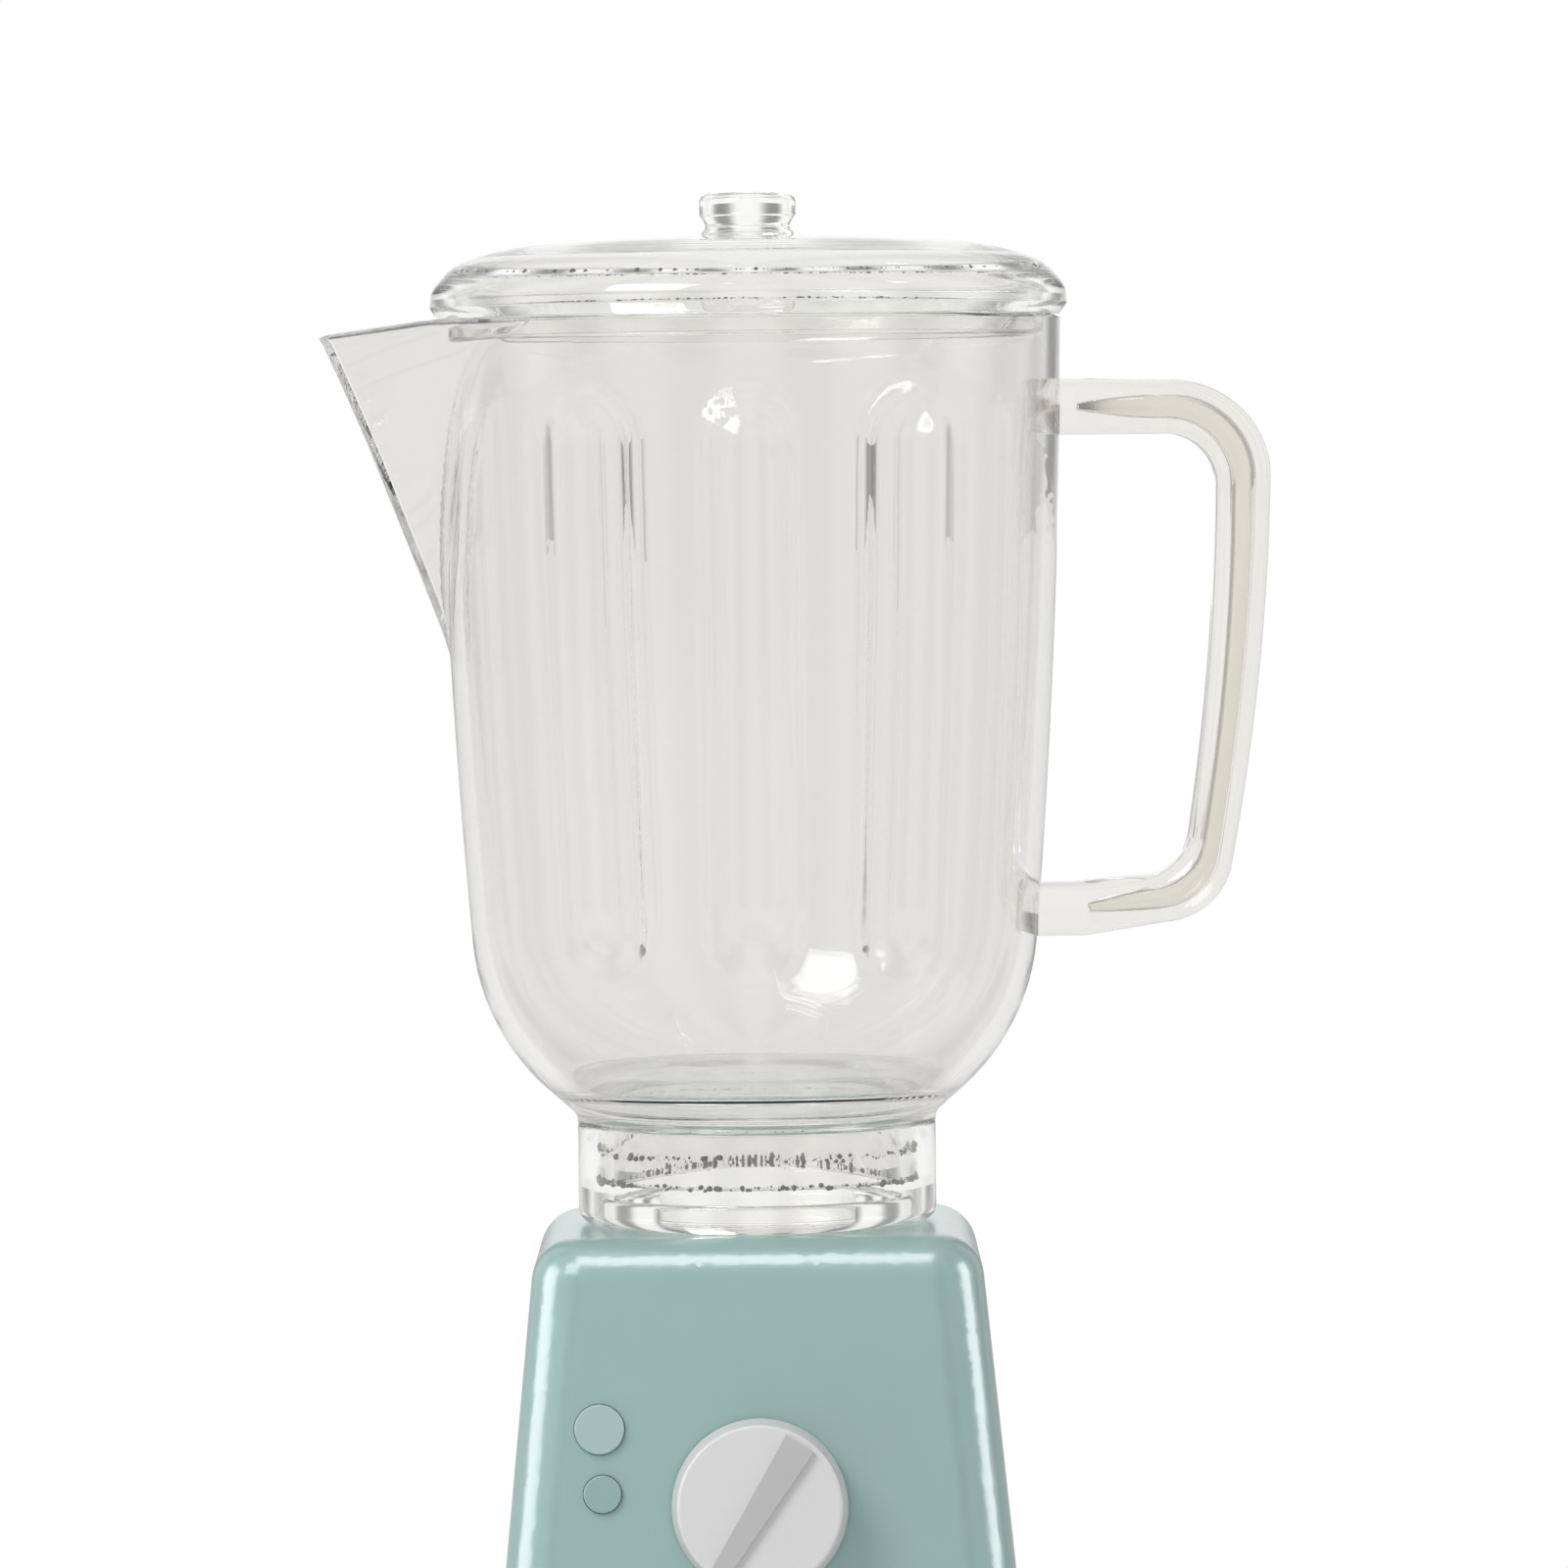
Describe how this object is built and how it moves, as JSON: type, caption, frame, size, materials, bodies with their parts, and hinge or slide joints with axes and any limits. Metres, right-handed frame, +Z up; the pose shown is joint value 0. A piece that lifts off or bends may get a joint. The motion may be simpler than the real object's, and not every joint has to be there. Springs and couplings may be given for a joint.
{
  "type": "toy blender",
  "caption": "Toy kitchen blender: clear fluted jug with pouring spout, handle and domed lid, lifting off a tapered mint base with a pointer dial and push buttons.",
  "frame": {"origin": "centre of the base's foot rim, on the table", "axes": "+Z up along the jug's axis; front with the dial faces -Y; handle towards +X and spout towards -X"},
  "size_m": [0.1454, 0.0974, 0.246],
  "materials": {
    "mint_plastic": "satin mint paint over moulded ABS",
    "mint_button": "satin mint moulded ABS",
    "clear_plastic": "clear moulded acrylic",
    "clear_thick": "clear moulded acrylic, thick",
    "dial_plastic": "satin pale grey ABS",
    "base_underside": "matt mint ABS",
    "zinc_screw": "zinc-plated steel",
    "cell_jacket": "plain printed jacket",
    "contact_metal": "nickel-plated spring steel",
    "speaker_steel": "plated steel",
    "speaker_paper": "black paper",
    "switch_plastic": "black nylon",
    "board_laminate": "green laminate",
    "chip_epoxy": "black epoxy",
    "dome_rubber": "silicone rubber"
  },
  "bodies": {
    "base": {"base_shell": "mint_plastic", "seat_ring": "clear_thick", "base_plate": "base_underside", "base_plate_screws": "zinc_screw", "battery_door": "base_underside", "battery_door_screw": "zinc_screw", "battery_1": "cell_jacket", "battery_2": "cell_jacket", "contact_link": "contact_metal", "contact_plus": "contact_metal", "contact_minus": "contact_metal", "battery_spring_minus": "contact_metal", "battery_spring_link": "contact_metal", "speaker_frame": "speaker_steel", "speaker_cone": "speaker_paper", "speaker_magnet": "speaker_steel", "rotary_switch": "switch_plastic", "detent_leaf": "contact_metal", "circuit_board": "board_laminate", "board_screws": "zinc_screw", "sound_chip": "chip_epoxy", "button_large_dome": "dome_rubber", "button_small_dome": "dome_rubber"},
    "dial": {"dial_knob": "dial_plastic", "dial_spindle": "switch_plastic", "detent_wheel": "switch_plastic"},
    "button_large": {"button_large": "mint_button"},
    "button_small": {"button_small": "mint_button"},
    "jug": {"jug_body": "clear_plastic", "jug_collar": "clear_thick", "jug_handle": "clear_thick"},
    "lid": {"lid_dome": "clear_plastic", "lid_plug_ring": "clear_thick", "lid_knob": "clear_thick"}
  },
  "joints": [
    {"name": "dial_turn", "type": "hinge", "parent": "base", "child": "dial", "pos_m": [0, -0.03736, 0.049], "axis": [0, -0.9952, 0.0983], "range_deg": [-58, 92]},
    {"name": "button_large_press", "type": "slide", "parent": "base", "child": "button_large", "axis": [0, 0.9952, -0.0983], "range_m": [0, 0.001], "stiffness_N_per_m": 300, "deforming": ["button_large_dome"]},
    {"name": "button_small_press", "type": "slide", "parent": "base", "child": "button_small", "axis": [0, 0.9952, -0.0983], "range_m": [0, 0.001], "stiffness_N_per_m": 300, "deforming": ["button_small_dome"]},
    {"name": "jug_lift", "type": "slide", "parent": "base", "child": "jug", "axis": [0, 0, 1], "range_m": [0, 0.04]},
    {"name": "lid_lift", "type": "slide", "parent": "jug", "child": "lid", "axis": [0, 0, 1], "range_m": [0, 0.03]}
  ]
}
